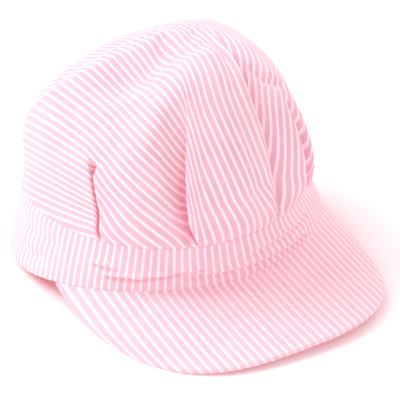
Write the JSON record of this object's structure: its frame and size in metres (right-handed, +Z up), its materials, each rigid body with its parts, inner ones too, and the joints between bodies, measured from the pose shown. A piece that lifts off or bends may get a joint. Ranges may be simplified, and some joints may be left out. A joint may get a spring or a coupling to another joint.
{
  "type": "engineer cap",
  "caption": "Child's engineer cap: a soft pleated crown gathered onto an upright head band, with a stiff arched peak at the front, in pink and white pin-striped cotton.",
  "frame": {"origin": "middle of the cap's footprint, on the surface that it rests on", "axes": "+Z up; the peak points to -Y, the back of the head is +Y and the wearer's left is +X"},
  "size_m": [0.1598, 0.223, 0.1126],
  "materials": {
    "striped_cotton_crown": "matt woven cotton with pink and white stripes",
    "striped_cotton_band": "matt woven cotton, stripes upright round the band",
    "striped_cotton_peak": "matt woven cotton over a stiffener, stripes from band to edge"
  },
  "bodies": {
    "root": {"crown": "striped_cotton_crown", "band": "striped_cotton_band", "peak": "striped_cotton_peak"}
  },
  "joints": []
}
